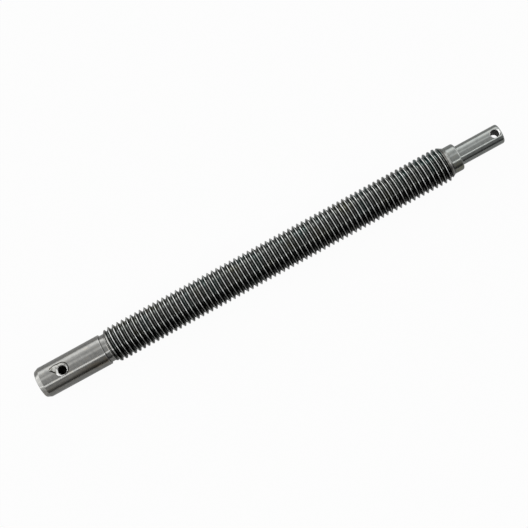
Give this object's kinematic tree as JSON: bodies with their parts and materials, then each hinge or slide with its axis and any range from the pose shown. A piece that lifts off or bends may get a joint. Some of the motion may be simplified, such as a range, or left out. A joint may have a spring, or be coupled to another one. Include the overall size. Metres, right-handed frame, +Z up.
{
  "type": "lead screw",
  "caption": "Headless steel lead screw: long coarse thread between a plain shank and a stepped spindle, each end drilled across.",
  "frame": {"origin": "centre of the shank's end face, on the screw's axis", "axes": "+X along the axis from the shank to the spindle's tip, +Z up out of the mouth of the shank's cross hole"},
  "size_m": [0.2554, 0.018, 0.018],
  "materials": {
    "turned_steel": "bright turned steel, dark and oily in the thread's grooves"
  },
  "bodies": {
    "root": {"lead_screw": "turned_steel"}
  },
  "joints": []
}
